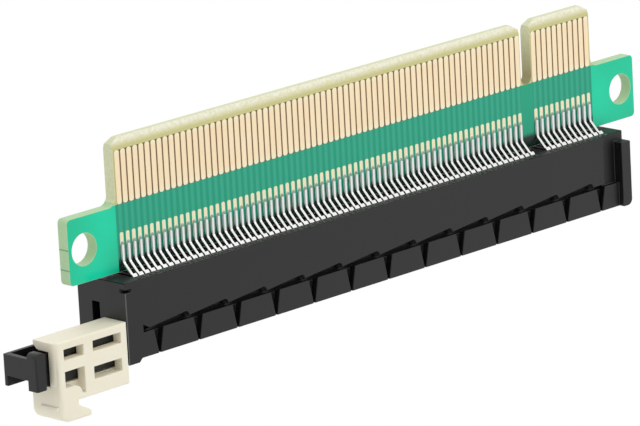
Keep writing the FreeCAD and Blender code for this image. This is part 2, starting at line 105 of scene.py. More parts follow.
def addNode(tree, kind, settings=None, links=None):
    # one node with its settings and what feeds its sockets; a node as a source gives its first output
    node = tree.nodes.new("ShaderNode" + kind)
    for key, value in (settings or {}).items():
        if isinstance(key, int) or key in node.inputs:
            node.inputs[key].default_value = value
        else:
            setattr(node, key, value)
    for key, source in (links or {}).items():
        output = source.outputs[0] if isinstance(source, bpy.types.Node) else source
        tree.links.new(output, node.inputs[key])
    return node


# where a Mix node keeps its two numbers, its two colours and the colour that it gives
numberA, numberB = 2, 3
colourA, colourB, colourOut = 6, 7, 2

# What all the plastics share: how far the flow streaks are drawn out, the range that flow and grain
# cover together, and how far red, green and blue light travel inside.
moulding = {"flowStretch": 0.25, "mixedSpan": (0.6, 1.4), "scatter": (1.2, 0.9, 0.6)}


def mouldedPlastic(name, look):
    # injection moulded plastic: an even colour and a soft sheen, with faint flow streaks along the
    # mould and a fine grain, drawn coarser than the tool leaves it so that it shows
    material, tree = newMaterial(name)
    place = addNode(tree, "TexCoord").outputs["Object"]
    along = addNode(tree, "Mapping", {"Scale": (moulding["flowStretch"], 1.0, 1.0)}, {"Vector": place})
    flow = addNode(tree, "TexNoise", {"Scale": 1 / (look["flowSize"] * mm), "Detail": 2.0},
                   {"Vector": along})
    grain = addNode(tree, "TexNoise", {"Scale": 1 / (look["grainSize"] * mm), "Detail": 3.0},
                    {"Vector": place})
    colour = addNode(tree, "Mix", {
        "data_type": "RGBA", colourA: hexColour(look["dark"]), colourB: hexColour(look["light"]),
    }, {0: flow})
    mixed = addNode(tree, "Math", {"operation": "ADD"}, {0: flow, 1: grain})
    rough = addNode(tree, "MapRange", {
        "From Min": moulding["mixedSpan"][0], "From Max": moulding["mixedSpan"][1],
        "To Min": look["rough"][0], "To Max": look["rough"][1],
    }, {"Value": mixed})
    bump = addNode(tree, "Bump", {"Strength": look["bump"], "Distance": look["bumpDepth"] * mm},
                   {"Height": grain})
    shader = addNode(tree, "BsdfPrincipled", {
        "IOR": look["ior"],
        "Subsurface Weight": look["subsurface"],
        "Subsurface Radius": [reach * mm for reach in moulding["scatter"]],
        "Subsurface Scale": 1.0,
    }, {"Base Color": colour.outputs[colourOut], "Roughness": rough, "Normal": bump})
    addNode(tree, "OutputMaterial", links={"Surface": shader})
    return material


# glass-filled nylon for the slot: nearly black, and its sheen alone shows the form
blackNylon = {"dark": "#0c0c0d", "light": "#131314", "flowSize": 5.0, "grainSize": 0.12,
              "rough": (0.38, 0.5), "bump": 0.2, "bumpDepth": 0.01, "ior": 1.46, "subsurface": 0.0}
# painted shade for the housing's top edges: the same nylon darker and duller, matte, with almost no sheen
shadedNylon = {"dark": "#050505", "light": "#080808", "flowSize": 5.0, "grainSize": 0.2,
              "rough": (0.8, 0.95), "bump": 0.4, "bumpDepth": 0.02, "ior": 1.25, "subsurface": 0.0}
# the same nylon in pale grey: a painted highlight down the corner beside the latch
highlightNylon = {"dark": "#4c4c4c", "light": "#6a6a6a", "flowSize": 1.0, "grainSize": 0.2,
               "rough": (0.5, 0.6), "bump": 0.3, "bumpDepth": 0.02, "ior": 1.46, "subsurface": 0.0}
# unfilled nylon for the latch: warm white, and light goes a little way in at its edges
creamNylon = {"dark": "#f0e9d3", "light": "#f7f1de", "flowSize": 3.0, "grainSize": 0.15,
              "rough": (0.42, 0.55), "bump": 0.2, "bumpDepth": 0.01, "ior": 1.5, "subsurface": 0.2}

# What all the metals share: the depth of the unevenness, and the lengths of a finger's pale top and
# of the highlight painted at its foot.
plating = {"bumpDepth": 0.01, "paleAbove": 0.7, "highlightBelow": 0.9}


def platedMetal(name, look):
    # metal plated on a drawn or etched base: a tinted mirror softened by the matte copper under it,
    # which may turn paler towards the top of a finger and carry a painted highlight over its foot
    material, tree = newMaterial(name)
    place = addNode(tree, "TexCoord").outputs["Object"]
    drawn = addNode(tree, "Mapping", {"Scale": (1.0, 1.0, look["stretch"])}, {"Vector": place})
    cloud = addNode(tree, "TexNoise", {"Scale": 1 / (look["cloudSize"] * mm), "Detail": 3.0},
                    {"Vector": drawn})
    colour = addNode(tree, "Mix", {
        "data_type": "RGBA", colourA: hexColour(look["dark"]), colourB: hexColour(look["light"]),
    }, {0: cloud})
    rough = addNode(tree, "MapRange", {"To Min": look["rough"][0], "To Max": look["rough"][1]},
                    {"Value": cloud})
    bump = addNode(tree, "Bump", {"Strength": look["bump"], "Distance": plating["bumpDepth"] * mm},
                   {"Height": cloud})
    # painted highlight: a finger turns pale over its foot, and paler towards its top as well
    if "paleEnd" in look:
        tall = addNode(tree, "SeparateXYZ", links={"Vector": place}).outputs["Z"]
        above = addNode(tree, "MapRange", {
            "From Min": (fingerHigh.z - plating["paleAbove"]) * mm, "From Max": fingerHigh.z * mm,
        }, {"Value": tall})
        under = addNode(tree, "MapRange", {
            "From Min": (fingerLow.z + plating["highlightBelow"]) * mm, "From Max": fingerLow.z * mm,
        }, {"Value": tall})
        atEnd = addNode(tree, "Math", {"operation": "MAXIMUM"}, {0: above, 1: under})
        colour = addNode(tree, "Mix", {"data_type": "RGBA", colourB: hexColour(look["paleEnd"])},
                         {0: atEnd, colourA: colour.outputs[colourOut]})
    shader = addNode(tree, "BsdfPrincipled", {"Metallic": look["metallic"]},
                     {"Base Color": colour.outputs[colourOut], "Roughness": rough, "Normal": bump})
    addNode(tree, "OutputMaterial", links={"Surface": shader})
    return material


# hard gold over nickel on the fingers: a pale, satin gold
hardGold = {"dark": "#f9dfb6", "light": "#fff0d0", "cloudSize": 1.2, "stretch": 0.25,
            "rough": (0.36, 0.5), "metallic": 0.75, "bump": 0.2, "paleEnd": "#f7f2d2"}
# gold that solder has run over at the pads: paler still and a little slicker
wettedGold = {"dark": "#ece4b8", "light": "#f8f3d8", "cloudSize": 0.8, "stretch": 0.5,
              "rough": (0.3, 0.45), "metallic": 0.6, "bump": 0.2}
# bright tin on the drawn strip of the contacts: nearly white, with a clear shine
tinPlate = {"dark": "#dcdedb", "light": "#f2f3f1", "cloudSize": 0.6, "stretch": 0.4,
            "rough": (0.18, 0.3), "metallic": 1.0, "bump": 0.1}
# grey, uneven tin for the small tabs that stand in for glints along the housing's top: a painted highlight
glintTabTin = {"dark": "#5a5e5b", "light": "#7f8480", "cloudSize": 0.4, "stretch": 0.6,
           "rough": (0.4, 0.6), "metallic": 1.0, "bump": 0.4}
# tin solder as it froze: grey, between shiny and dull, with a green tinge that is a painted reflection of
# the board
solderTin = {"dark": "#6f7f78", "light": "#a9b6b0", "cloudSize": 0.4, "stretch": 0.6,
             "rough": (0.25, 0.45), "metallic": 1.0, "bump": 0.4}


# Solder mask over copper on glass laminate. The mask covers the faces below the fingers: it is bright
# over the copper of the ears, striped over the traces and painted dark at the foot as the shade under the
# leads.
# The milled edges show pale layers of glass, greener on the ears, with two short nicks at the left end.
# In the key notch they are painted darker and browner towards the bottom, as shade and a gold reflection
# of the fingers. The tongue is bare: brown between the fingers, paler and full of cut fibres at its tip.
# The layers and the threads have their real spacing. The cut fibres are drawn coarser than they are,
# so that they show. A margin, reach or fade is a distance, a pull or tint is a share, and flatFrom and
# broadFrom say how squarely a face looks out.
maskedLaminate = {
    "ear": "#00c091", "earLight": "#00d8aa", "keyGap": "#0aa47e",
    "trace": "#28a888", "traceGap": "#009a79", "foot": "#06261c",
    "glass": "#eaeccd", "resin": "#cdd0a4", "earEdge": "#93cf9b", "keyWallShade": "#94804e",
    "between": "#7c6044", "bareTip": "#c9c487", "paleTip": "#e6e4c2", "fibreTip": "#f4f2e2",
    "nick": "#7fae86", "nicks": (3.9, 6.4), "nickTall": 0.2, "endDeep": 0.05,
    "flatFrom": 0.99, "broadFrom": 0.75, "rowMargin": 0.35, "keyReach": 1.1, "footShadeFade": 0.3,
    "cloud": 12.0, "cloudSpan": (0.35, 0.65), "stripeSpan": 0.6,
    "layer": 0.2, "layerPull": 0.15, "fibre": 0.35, "fibreMiddle": 0.5,
    "earMargin": 0.3, "earTint": 0.6, "keyShadeTint": 0.75,
    "tipStart": 0.3, "tipTall": 1.1, "speckSpan": (0.35, 0.62),
    "weave": 0.5, "weavePull": 0.15, "bump": 0.3, "bumpDepth": 0.03,
    "maskRough": 0.22, "laminateRough": 0.55, "ior": 1.4,
}


def laminateMaterial(look):
    material, tree = newMaterial("solderMaskedLaminate")
    place = addNode(tree, "TexCoord").outputs["Object"]
    axes = addNode(tree, "SeparateXYZ", links={"Vector": place}).outputs
    normal = addNode(tree, "NewGeometry").outputs["True Normal"]
    facing = addNode(tree, "SeparateXYZ", links={"Vector": normal}).outputs

    # which face this is: a broad side, the masked part of it, the finger rows or the painted shade at the
    # foot
    outward = addNode(tree, "Math", {"operation": "ABSOLUTE"}, {0: facing["Y"]})
    flat = addNode(tree, "Math", {"operation": "GREATER_THAN", 1: look["flatFrom"]}, {0: outward})
    broad = addNode(tree, "Math", {"operation": "GREATER_THAN", 1: look["broadFrom"]}, {0: outward})
    below = addNode(tree, "Math", {"operation": "LESS_THAN", 1: fingerLow.z * mm}, {0: axes["Z"]})
    masked = addNode(tree, "Math", {"operation": "MULTIPLY"}, {0: flat, 1: below})
    sideways = addNode(tree, "Math", {"operation": "ABSOLUTE"}, {0: axes["X"]})
    inRow = addNode(tree, "Math", {
        "operation": "LESS_THAN", 1: (fingerHigh.x + look["rowMargin"]) * mm,
    }, {0: sideways})
    fromKey = addNode(tree, "Math", {"operation": "SUBTRACT", 1: keyCentre * mm}, {0: axes["X"]})
    fromKey = addNode(tree, "Math", {"operation": "ABSOLUTE"}, {0: fromKey})
    pastKey = addNode(tree, "Math", {"operation": "GREATER_THAN", 1: look["keyReach"] * mm},
                      {0: fromKey})
    traced = addNode(tree, "Math", {"operation": "MULTIPLY"}, {0: inRow, 1: pastKey})
    # painted shade: the mask fades to dark at the foot, under the leads
    footShade = addNode(tree, "MapRange", {
        "From Min": (padLow.z + look["footShadeFade"]) * mm, "From Max": (padLow.z - look["footShadeFade"]) * mm,
    }, {"Value": axes["Z"]})
    footShade = addNode(tree, "Math", {"operation": "MULTIPLY"}, {0: footShade, 1: inRow})

    # the mask, with one stripe for each trace
    cloud = addNode(tree, "TexNoise", {"Scale": 1 / (look["cloud"] * mm), "Detail": 1.0},
                    {"Vector": place})
    cloud = addNode(tree, "MapRange", {
        "From Min": look["cloudSpan"][0], "From Max": look["cloudSpan"][1],
    }, {"Value": cloud})
    ear = addNode(tree, "Mix", {
        "data_type": "RGBA", colourA: hexColour(look["ear"]), colourB: hexColour(look["earLight"]),
    }, {0: cloud})
    phase = addNode(tree, "Math", {
        "operation": "MULTIPLY_ADD", 1: 2 * math.pi / (pinPitch * mm), 2: -math.pi / 2,
    }, {0: axes["X"]})
    wave = addNode(tree, "Math", {"operation": "SINE"}, {0: phase})
    stripe = addNode(tree, "MapRange", {
        "From Min": -look["stripeSpan"], "From Max": look["stripeSpan"],
    }, {"Value": wave})
    row = addNode(tree, "Mix", {
        "data_type": "RGBA", colourA: hexColour(look["traceGap"]), colourB: hexColour(look["trace"]),
    }, {0: stripe})
    plain = addNode(tree, "Mix", {"data_type": "RGBA", colourB: hexColour(look["keyGap"])},
                    {0: inRow, colourA: ear.outputs[colourOut]})
    mask = addNode(tree, "Mix", {"data_type": "RGBA"},
                   {0: traced, colourA: plain.outputs[colourOut], colourB: row.outputs[colourOut]})
    mask = addNode(tree, "Mix", {"data_type": "RGBA", colourB: hexColour(look["foot"])},
                   {0: footShade, colourA: mask.outputs[colourOut]})

    # the milled edge: layers of glass across it, and the cut ends of its fibres
    layers = addNode(tree, "Math", {"operation": "MULTIPLY", 1: 2 * math.pi / (look["layer"] * mm)},
                     {0: axes["Y"]})
    layers = addNode(tree, "Math", {"operation": "SINE"}, {0: layers})
    fibre = addNode(tree, "TexNoise", {"Scale": 1 / (look["fibre"] * mm), "Detail": 3.0},
                    {"Vector": place})
    cut = addNode(tree, "Math", {"operation": "MULTIPLY_ADD", 1: look["layerPull"]},
                  {0: layers, 2: fibre})
    laminate = addNode(tree, "Mix", {
        "data_type": "RGBA", colourA: hexColour(look["resin"]), colourB: hexColour(look["glass"]),
    }, {0: cut})
    onEar = addNode(tree, "Math", {
        "operation": "LESS_THAN", 1: (fingerLow.z + look["earMargin"]) * mm,
    }, {0: axes["Z"]})
    onEar = addNode(tree, "Math", {"operation": "MULTIPLY", 1: look["earTint"]}, {0: onEar})
    # painted shade: in the key notch the laminate turns darker and browner towards the bottom
    shadeDeeper = addNode(tree, "MapRange", {
        "From Min": fingerHigh.z * mm, "From Max": fingerLow.z * mm, "To Max": look["keyShadeTint"],
    }, {"Value": axes["Z"]})
    inKeyShade = addNode(tree, "Math", {"operation": "SUBTRACT", 0: 1.0}, {1: pastKey})
    inKeyShade = addNode(tree, "Math", {"operation": "MULTIPLY"}, {0: inKeyShade, 1: shadeDeeper})
    atEnd = addNode(tree, "Math", {"operation": "LESS_THAN", 1: (boardLow.x + look["endDeep"]) * mm},
                    {0: axes["X"]})
    tints = [("earEdge", onEar), ("keyWallShade", inKeyShade)]
    for drop in look["nicks"]:
        nick = addNode(tree, "Math", {
            "operation": "COMPARE", 1: (fingerLow.z - drop) * mm, 2: look["nickTall"] / 2 * mm,
        }, {0: axes["Z"]})
        nick = addNode(tree, "Math", {"operation": "MULTIPLY"}, {0: nick, 1: atEnd})
        tints.append(("nick", nick))
    for tint, amount in tints:
        laminate = addNode(tree, "Mix", {"data_type": "RGBA", colourB: hexColour(look[tint])},
                           {0: amount, colourA: laminate.outputs[colourOut]})

    # the bare tongue: brown between the fingers, then resin and at last pale fibres towards the tip
    paler = addNode(tree, "MapRange", {
        "From Min": (fingerHigh.z + look["tipStart"]) * mm,
        "From Max": (fingerHigh.z + look["tipTall"]) * mm,
    }, {"Value": axes["Z"]})
    speck = addNode(tree, "MapRange", {
        "From Min": look["speckSpan"][0], "From Max": look["speckSpan"][1],
    }, {"Value": fibre})
    pale = addNode(tree, "Mix", {
        "data_type": "RGBA", colourA: hexColour(look["paleTip"]), colourB: hexColour(look["fibreTip"]),
    }, {0: speck})
    tip = addNode(tree, "Mix", {"data_type": "RGBA", colourA: hexColour(look["bareTip"])},
                  {0: paler, colourB: pale.outputs[colourOut]})
    tipped = addNode(tree, "Math", {"operation": "GREATER_THAN", 1: fingerHigh.z * mm},
                     {0: axes["Z"]})
    beside = addNode(tree, "Math", {"operation": "LESS_THAN", 1: fingerHigh.x * mm}, {0: sideways})
    offKey = addNode(tree, "Math", {
        "operation": "GREATER_THAN", 1: (keyRight - keyLeft) / 2 * mm,
    }, {0: fromKey})
    beside = addNode(tree, "Math", {"operation": "MULTIPLY"}, {0: beside, 1: offKey})
    low = addNode(tree, "Mix", {
        "data_type": "RGBA", colourA: hexColour(look["bareTip"]), colourB: hexColour(look["between"]),
    }, {0: beside})
    face = addNode(tree, "Mix", {"data_type": "RGBA"},
                   {0: tipped, colourA: low.outputs[colourOut], colourB: tip.outputs[colourOut]})

    # each face gets its own: the mask, the bare tongue with its bevelled tip, or the milled edge
    bevelled = addNode(tree, "Math", {"operation": "MULTIPLY"}, {0: broad, 1: tipped})
    faced = addNode(tree, "Math", {"operation": "MAXIMUM"}, {0: flat, 1: bevelled})
    bare = addNode(tree, "Mix", {"data_type": "RGBA"},
                   {0: faced, colourA: laminate.outputs[colourOut], colourB: face.outputs[colourOut]})
    colour = addNode(tree, "Mix", {"data_type": "RGBA"},
                     {0: masked, colourA: bare.outputs[colourOut], colourB: mask.outputs[colourOut]})

    # the weave prints through the mask as a faint grid, and the traces stand a little proud
    turns = 2 * math.pi / (look["weave"] * mm)
    warp = addNode(tree, "Math", {"operation": "MULTIPLY", 1: turns}, {0: axes["X"]})
    warp = addNode(tree, "Math", {"operation": "SINE"}, {0: warp})
    weft = addNode(tree, "Math", {"operation": "MULTIPLY", 1: turns}, {0: axes["Z"]})
    weft = addNode(tree, "Math", {"operation": "SINE"}, {0: weft})
    woven = addNode(tree, "Math", {"operation": "MULTIPLY"}, {0: warp, 1: weft})
    proud = addNode(tree, "Math", {"operation": "MULTIPLY"}, {0: stripe, 1: traced})
    height = addNode(tree, "Math", {"operation": "MULTIPLY_ADD", 1: look["weavePull"]},
                     {0: woven, 2: proud})
    level = addNode(tree, "Math", {"operation": "SUBTRACT", 1: look["fibreMiddle"]}, {0: cut})
    height = addNode(tree, "Mix", {"data_type": "FLOAT"},
                     {0: masked, numberA: level, numberB: height})
    bump = addNode(tree, "Bump", {"Strength": look["bump"], "Distance": look["bumpDepth"] * mm},
                   {"Height": height})
    rough = addNode(tree, "MapRange", {"To Min": look["laminateRough"], "To Max": look["maskRough"]},
                    {"Value": masked})
    shader = addNode(tree, "BsdfPrincipled", {"IOR": look["ior"]},
                     {"Base Color": colour.outputs[colourOut], "Roughness": rough, "Normal": bump})
    addNode(tree, "OutputMaterial", links={"Surface": shader})
    return material


boardMaterial = laminateMaterial(maskedLaminate)
fingerMaterial = platedMetal("hardGoldPlate", hardGold)
padMaterial = platedMetal("solderWettedGold", wettedGold)
contactMaterial = platedMetal("tinPlatedBronze", tinPlate)
solderMaterial = platedMetal("tinSolder", solderTin)
glintTabMaterial = platedMetal("glintTabTinned", glintTabTin)
housingMaterial = mouldedPlastic("blackNylon", blackNylon)
shadedMaterial = mouldedPlastic("blackNylonShaded", shadedNylon)
highlightMaterial = mouldedPlastic("blackNylonHighlight", highlightNylon)
latchMaterial = mouldedPlastic("creamNylon", creamNylon)
print("stage: materials made")


# The angles, in degrees, under which CAD facets are one flat face, over which an edge is softened
# and over which it is shaded as an edge.
meshing = {"weld": 0.001, "flatAngle": 1, "softenAngle": 28, "shadeAngle": 32, "faceWeight": 100}


def addPiece(name, bm, material, body, stands=()):
    # the finished mesh becomes a piece that rides on its body and stands for these CAD nodes
    mesh = bpy.data.meshes.new(name)
    bm.to_mesh(mesh)
    bm.free()
    mesh.shade_smooth()
    mesh.set_sharp_from_angle(angle=math.radians(meshing["shadeAngle"]))
    mesh.materials.append(material)
    piece = bpy.data.objects.new(name, mesh)
    bpy.context.scene.collection.objects.link(piece)
    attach(piece, body)
    if stands:
        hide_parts(*stands)
    return piece


def weldedCopy(name):
    # the CAD shape as one welded mesh with whole flat faces
    bm = bmesh.new()
    bm.from_mesh(nodes[name].data)
    bmesh.ops.remove_doubles(bm, verts=bm.verts, dist=meshing["weld"] * mm)
    bmesh.ops.dissolve_limit(bm, angle_limit=math.radians(meshing["flatAngle"]), verts=bm.verts,
                             edges=bm.edges, delimit={"NORMAL"})
    return bm


def soften(bm, width, segments, chosen, rounded):
    # rounds the sharp edges whose two ends pass the test, apart from those that meet a rounded one
    sharp = math.radians(meshing["softenAngle"])
    picked = []
    for edge in bm.edges:
        if len(edge.link_faces) != 2 or edge.calc_face_angle(0) < sharp:
            continue
        if chosen(edge.verts[0].co / mm, edge.verts[1].co / mm) and not rounded.intersection(edge.verts):
            picked.append(edge)
    made = bmesh.ops.bevel(bm, geom=picked, offset=width * mm, offset_type="OFFSET", affect="EDGES",
                           segments=segments, profile=0.5, material=-1, clamp_overlap=False)["verts"]
    rounded.update(made)
    return len(picked)


def levelFaces(piece):
    # keeps the broad faces flat in the light while the soft edges turn smoothly
    weighted = piece.modifiers.new("levelFaces", "WEIGHTED_NORMAL")
    weighted.keep_sharp = True
    weighted.weight = meshing["faceWeight"]


# The board keeps its CAD outline, with its milled corners just broken.
boardEdge = {"width": 0.05, "segments": 2}


def buildBoard(look):
    def alongOutline(a, b):
        return abs(a.y - b.y) < hair and min(a.z, b.z) < fingerHigh.z

    bm = weldedCopy("circuit_board")
    count = soften(bm, look["width"], look["segments"], alongOutline, set())
    piece = addPiece("board", bm, boardMaterial, "card", ["circuit_board"])
    levelFaces(piece)
    print("stage: board softened on", count, "edges")


# The slot housing: crisp moulded edges outside, rounder at the arm's end post, and left sharp around
# the cavities and at the cusp where the end column's arc runs out. The soft edges of the top are painted
# a darker, duller nylon as shade, so they send little light back. A painted highlight runs down the
# corner beside the latch.
housingEdge = {
    "width": 0.1, "segments": 2, "core": 3.2, "wall": 4.25,
    "postLong": 1.7, "postFront": -3.8, "postTall": 1.0, "postRound": 0.28, "postSegments": 3,
    "cuspX": (43.75, 44.65), "cuspZ": (-14.25, -13.35),
    "shadedDeep": 0.04, "levelFrom": 0.99,
    "highlightZ": (-10.5, -5.0), "highlightReach": 0.1, "squareFrom": 0.95,
}


def buildHousing(look):
    bodyEnd = -housingHigh.x
    postEnd = housingLow.x + look["postLong"]

    def upThePost(a, b):
        inFront = max(a.y, b.y) < look["postFront"]
        return max(a.x, b.x) < postEnd and inFront and abs(a.z - b.z) > look["postTall"]

    def atCusp(place):
        across = look["cuspX"][0] < place.x < look["cuspX"][1]
        return across and look["cuspZ"][0] < place.z < look["cuspZ"][1]

    def outside(a, b):
        onWall = min(abs(a.y), abs(b.y)) > look["core"]
        onArm = max(a.x, b.x) < bodyEnd - hair
        return (onWall or onArm) and not (atCusp(a) or atCusp(b))

    bm = weldedCopy("slot_housing")
    count = soften(bm, look["postRound"], look["postSegments"], upThePost, set())
    count += soften(bm, look["width"], look["segments"], outside, set())
    piece = addPiece("housing", bm, housingMaterial, "card", ["slot_housing"])
    piece.data.materials.append(shadedMaterial)
    piece.data.materials.append(highlightMaterial)
    shadedSlot, highlightSlot = 1, 2    # the two extra materials' places on the piece
    for face in piece.data.polygons:
        at, normal = face.center / mm, face.normal
        # painted shade: the rounded edges of the top take the darker, duller nylon, so that they send
        # little light back
        onTop = at.z > housingHigh.z - look["shadedDeep"]
        if onTop and normal.z < look["levelFrom"]:
            face.material_index = shadedSlot
        # painted highlight: the oblique faces of the corner beside the latch take the pale grey nylon
        atCorner = abs(at.x - bodyEnd) < look["highlightReach"] and at.y < look["highlightReach"] - look["wall"]
        oblique = max(abs(normal.x), abs(normal.y)) < look["squareFrom"]
        if atCorner and oblique and look["highlightZ"][0] < at.z < look["highlightZ"][1]:
            face.material_index = highlightSlot
    levelFaces(piece)
    print("stage: housing softened on", count, "edges")


# The latch: a soft cream moulding, roundest round its foot and at its outer corners.
latchEdge = {
    "segments": 3, "footWidth": 0.4, "footDrop": 0.4, "footDeep": 0.75, "footStart": -54.3,
    "outerWidth": 0.2, "outerInset": 0.9, "outerBack": -0.4, "hookTop": -16.7,
    "windowWidth": 0.08, "windowSegments": 2, "windowLong": 0.3,
}


def buildLatch(look):
    def roundFoot(a, b):
        low = max(a.z, b.z) < housingLow.z - look["footDrop"]
        inFront = max(a.y, b.y) < latchLow.y + look["footDeep"]
        atEnd = max(a.x, b.x) < look["footStart"]
        underneath = max(a.z, b.z) < latchLow.z + hair
        return low and inFront and (atEnd or underneath)

    def outmost(place):
        atSide = place.x < latchLow.x + look["outerInset"] or place.x > latchHigh.x - hair
        return atSide or place.z > latchHigh.z - hair or place.z < look["hookTop"]

    def outside(a, b):
        return outmost(a) and outmost(b) and max(a.y, b.y) < look["outerBack"]

    def longEnough(a, b):
        return (a - b).length > look["windowLong"]

    bm = weldedCopy("slot_latch")
    rounded = set()
    foot = soften(bm, look["footWidth"], look["segments"], roundFoot, rounded)
    outer = soften(bm, look["outerWidth"], look["segments"], outside, rounded)
    rest = soften(bm, look["windowWidth"], look["windowSegments"], longEnough, rounded)
    piece = addPiece("latch", bm, latchMaterial, "latch", ["slot_latch"])
    levelFaces(piece)
    print("stage: latch softened on", foot, outer, rest, "edges")


# A low ridge crosses the end of the latch's foot: rounded above, square below.
footRidge = {"inset": 0.3, "thick": 0.24, "front": -3.85, "back": -0.9, "low": -17.6, "tall": 0.5,
             "round": 0.216, "segments": 3}


def buildFootRidge(look):
    foot = latchLow.x + look["inset"]
    low = Vector((foot - look["thick"], look["front"], look["low"]))
    high = Vector((foot + look["thick"], look["back"], look["low"] + look["tall"]))

    def outerTop(a, b):
        return max(a.x, b.x) < foot and max(a.z, b.z) > look["low"] + hair

    bm = bmesh.new()
    bmesh.ops.create_cube(bm, size=mm)
    bmesh.ops.scale(bm, vec=high - low, verts=bm.verts)
    bmesh.ops.translate(bm, vec=(high + low) / 2 * mm, verts=bm.verts)
    soften(bm, look["round"], look["segments"], outerTop, set())
    addPiece("latch_foot_ridge", bm, latchMaterial, "latch")


def walk(bm, face, moves, steps):
    # grows the strip from its end face: a run is a length, a bend is an angle and a radius
    heading = Vector((0, 0, -1))
    for move in moves:
        if len(move) == 1:
            grown = bmesh.ops.extrude_face_region(bm, geom=[face])["geom"]
            face = next(item for item in grown if isinstance(item, bmesh.types.BMFace))
            bmesh.ops.translate(bm, vec=heading * move[0] * mm, verts=face.verts)
            continue
        angle, radius = move
        inward = Vector((0, heading.z, -heading.y)) * (-1 if angle > 0 else 1)
        centre = face.calc_center_median() + inward * radius * mm
        spun = bmesh.ops.spin(bm, geom=[face, *face.edges, *face.verts], cent=centre, axis=(1, 0, 0),
                              angle=math.radians(angle), steps=steps, use_duplicate=False)["geom_last"]
        face = next(item for item in spun if isinstance(item, bmesh.types.BMFace))
        heading = Matrix.Rotation(math.radians(angle), 3, "X") @ heading


# One spring contact: a flat tail soldered to its pad, a slanting shoulder out to the housing's row,
# a leg down through the cavity and a rounded nib that presses on the card. A wider foot lies on
# the slant where it goes into the housing.
springStrip = {
    "width": 0.36, "thick": 0.22, "edge": 0.06, "tailOut": 0.96, "tailTop": -0.75, "tailFoot": -2.95,
    "rowOut": 2.55, "slope": 45, "tailBend": 0.45, "rowBend": 0.35, "leg": 1.4, "legBend": 1.5,
    "nibOut": 0.95, "nibTop": -11.6, "nibRound": 0.6, "nibTurn": 24, "nibTip": 0.6, "bendSteps": 3,
    "footWidth": 0.74, "footThick": 0.24, "footShift": 0.17, "footLong": 0.5, "footIn": 0.05,
    "footProud": 0.06,
}


def springContact(look):
    # seen along x, with the board to the right: the tail runs down, then steps away from the board
    half, edge = look["width"] / 2, look["edge"]
    near, far = -look["tailOut"] + look["thick"] / 2, -look["tailOut"] - look["thick"] / 2
    corners = [(-half, near), (half, near), (half, far + edge), (half - edge, far), (edge - half, far),
               (-half, far + edge)]
    slope = math.radians(look["slope"])
    tailCut, rowCut = look["tailBend"] * math.tan(slope / 2), look["rowBend"] * math.tan(slope / 2)
    out = look["rowOut"] - look["tailOut"]
    legFoot = look["tailFoot"] - out / math.tan(slope) - rowCut - look["leg"]
    lean = math.atan2(look["rowOut"] - look["nibOut"], legFoot - look["nibTop"])
    legCut = look["legBend"] * math.tan(lean / 2)
    bm = bmesh.new()
    section = bm.faces.new([bm.verts.new(Vector((x, y, look["tailTop"])) * mm) for x, y in corners])
    walk(bm, section, [
        (look["tailTop"] - look["tailFoot"] - tailCut,),
        (-look["slope"], look["tailBend"]),
        (out / math.sin(slope) - tailCut - rowCut,),
        (look["slope"], look["rowBend"]),
        (look["leg"] - legCut,),
        (math.degrees(lean), look["legBend"]),
        ((look["rowOut"] - look["nibOut"]) / math.sin(lean) - legCut,),
        (-math.degrees(lean) - look["nibTurn"], look["nibRound"]),
        (look["nibTip"],),
    ], look["bendSteps"])
    block = bmesh.ops.create_cube(bm, size=mm)["verts"]
    bmesh.ops.scale(bm, vec=(look["footWidth"], look["footThick"], look["footLong"]), verts=block)
    bmesh.ops.rotate(bm, verts=block, cent=(0, 0, 0), matrix=Matrix.Rotation(-slope, 3, "X"))
    foot = Vector((look["footShift"], look["footIn"] - look["rowOut"], housingHigh.z + look["footProud"]))
    bmesh.ops.translate(bm, vec=foot * mm, verts=block)
    bmesh.ops.recalc_face_normals(bm, faces=bm.faces)
    return bm


def masterOf(name, bm):
    # keeps a small finished shape as the mesh that a row is copied from
    master = bpy.data.meshes.new(name)
    bm.to_mesh(master)
    print("stage:", name, "has", len(bm.faces), "faces and reaches down to",
          round(min(vert.co.z for vert in bm.verts) / mm, 2), "mm")
    bm.free()
    return master


def rowOf(master, pins, side):
    # copies of one master mesh, one for each pin, on the front or mirrored to the back
    bm = bmesh.new()
    for pin in pins:
        first = len(bm.verts)
        bm.from_mesh(master)
        bm.verts.ensure_lookup_table()
        bmesh.ops.translate(bm, vec=(pinAt(pin) * mm, 0, 0), verts=bm.verts[first:])
    if side == "back":
        bmesh.ops.scale(bm, vec=(1, -1, 1), verts=bm.verts)
        bmesh.ops.recalc_face_normals(bm, faces=bm.faces)
    return bm


def addRows(name, master, banks, material, kind=""):
    # one piece for each bank on each side, which stands for the CAD node of its kind if there is one
    for side in ("front", "back"):
        for first, last in banks:
            bank = f"{side}_{first:02}_{last:02}"
            row = rowOf(master, range(first, last + 1), side)
            addPiece(f"{name}_{bank}", row, material, "card", [f"{kind}_{bank}"] if kind else [])


def buildContacts(look):
    master = masterOf("contactMaster", springContact(look))
    addRows("spring_contacts", master, contactBanks, contactMaterial, "contacts")


# The solder on each tail: a smooth mound a little wider than the pad, thinning towards its ends.
solderMound = {"width": 0.78, "height": 0.19, "long": 2.9, "centre": -1.75, "sunk": 0.05,
               "rings": 6, "around": 10}


